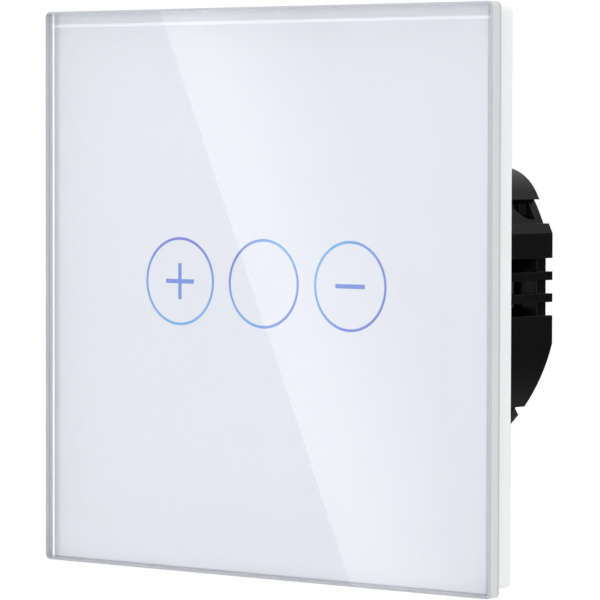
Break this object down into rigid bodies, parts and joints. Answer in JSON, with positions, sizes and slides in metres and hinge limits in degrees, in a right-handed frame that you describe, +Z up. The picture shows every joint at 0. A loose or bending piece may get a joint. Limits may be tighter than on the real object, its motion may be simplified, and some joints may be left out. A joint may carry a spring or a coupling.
{
  "type": "touch dimmer switch",
  "caption": "Flush wall touch dimmer: square white-printed glass panel with ringed plus, blank and minus keys lit blue, white carrier, black round vented housing.",
  "frame": {"origin": "middle of the wall plane: the back face of the steel mounting frame, midway between its box screw slots", "axes": "+X to the right seen from the room, +Y into the wall, +Z up"},
  "size_m": [0.086, 0.0375, 0.086],
  "materials": {
    "clear_glass": "clear tempered glass, polished",
    "white_print": "white enamel print behind the glass",
    "lit_mark": "translucent ink lit blue from behind",
    "tape": "double-sided foam tape",
    "white_moulding": "fine satin moulded",
    "zinc_steel": "zinc-plated pressed steel",
    "screw_steel": "zinc-plated screw steel",
    "clamp_steel": "passivated pressed steel",
    "black_moulding": "fine-grained black moulded",
    "white_board": "white solder mask on glass-epoxy board",
    "green_board": "green solder mask on glass-epoxy board",
    "gold_wire": "gold-plated",
    "clear_plastic": "frosted clear plastic",
    "lamp": "surface-mounted lamps",
    "black_package": "moulded black package",
    "yellow_film": "yellow moulded case",
    "red_film": "dipped red case",
    "can_sleeve": "shrink-sleeved aluminium can",
    "ferrite": "coated powdered iron",
    "copper_wire": "enamelled copper wire",
    "blue_epoxy": "blue epoxy-dipped disc",
    "aluminium": "extruded plate",
    "grey_pad": "silicone insulating pad",
    "triac_package": "moulded package with a plated tab",
    "terminal_green": "satin moulded",
    "plated_brass": "tin-plated brass"
  },
  "bodies": {
    "base": {"mounting_frame": "zinc_steel", "frame_screws": "screw_steel", "front_cover": "black_moulding", "touch_board": "white_board", "touch_spring_left": "gold_wire", "touch_spring_middle": "gold_wire", "touch_spring_right": "gold_wire", "light_guide_left": "clear_plastic", "light_guide_middle": "clear_plastic", "light_guide_right": "clear_plastic", "indicator_leds": "lamp", "touch_chip": "black_package", "pin_header": "black_package", "header_pins": "gold_wire", "pin_socket": "black_package", "rear_housing": "black_moulding", "power_board": "green_board", "control_chip": "black_package", "optocoupler": "black_package", "bridge_rectifier": "black_package", "resistors": "black_package", "film_capacitor": "yellow_film", "snubber_capacitor": "red_film", "electrolytic_capacitor": "can_sleeve", "choke_core": "ferrite", "choke_winding": "copper_wire", "supply_coil": "black_package", "fuse": "black_package", "varistor": "blue_epoxy", "heat_sink": "aluminium", "insulating_pad": "grey_pad", "triac": "triac_package", "triac_screw": "screw_steel", "terminal_block": "terminal_green", "terminal_bars": "plated_brass"},
    "front_panel": {"glass_panel": "clear_glass", "glass_print": "white_print", "plus_mark": "lit_mark", "power_mark": "lit_mark", "minus_mark": "lit_mark", "glass_tape": "tape", "panel_carrier": "white_moulding"},
    "screw_left": {"terminal_screw_left": "screw_steel"},
    "clamp_left": {"terminal_clamp_left": "clamp_steel"},
    "screw_middle": {"terminal_screw_middle": "screw_steel"},
    "clamp_middle": {"terminal_clamp_middle": "clamp_steel"},
    "screw_right": {"terminal_screw_right": "screw_steel"},
    "clamp_right": {"terminal_clamp_right": "clamp_steel"}
  },
  "joints": [
    {"name": "panel_release", "type": "slide", "parent": "base", "child": "front_panel", "axis": [0, -1, 0], "range_m": [0, 0.025]},
    {"name": "screw_left_turn", "type": "hinge", "parent": "base", "child": "screw_left", "pos_m": [-0.007, 0.025, -0.0215], "axis": [0, 0, 1], "range_deg": [0, 1800]},
    {"name": "clamp_left_rise", "type": "slide", "parent": "base", "child": "clamp_left", "axis": [0, 0, -1], "range_m": [0, 0.0025]},
    {"name": "screw_middle_turn", "type": "hinge", "parent": "base", "child": "screw_middle", "pos_m": [0, 0.025, -0.0215], "axis": [0, 0, 1], "range_deg": [0, 1800]},
    {"name": "clamp_middle_rise", "type": "slide", "parent": "base", "child": "clamp_middle", "axis": [0, 0, -1], "range_m": [0, 0.0025]},
    {"name": "screw_right_turn", "type": "hinge", "parent": "base", "child": "screw_right", "pos_m": [0.007, 0.025, -0.0215], "axis": [0, 0, 1], "range_deg": [0, 1800]},
    {"name": "clamp_right_rise", "type": "slide", "parent": "base", "child": "clamp_right", "axis": [0, 0, -1], "range_m": [0, 0.0025]}
  ],
  "couplings": [
    {"joint": "screw_left_turn", "follows": "clamp_left_rise", "rad_per_m": 12566},
    {"joint": "screw_middle_turn", "follows": "clamp_middle_rise", "rad_per_m": 12566},
    {"joint": "screw_right_turn", "follows": "clamp_right_rise", "rad_per_m": 12566}
  ]
}
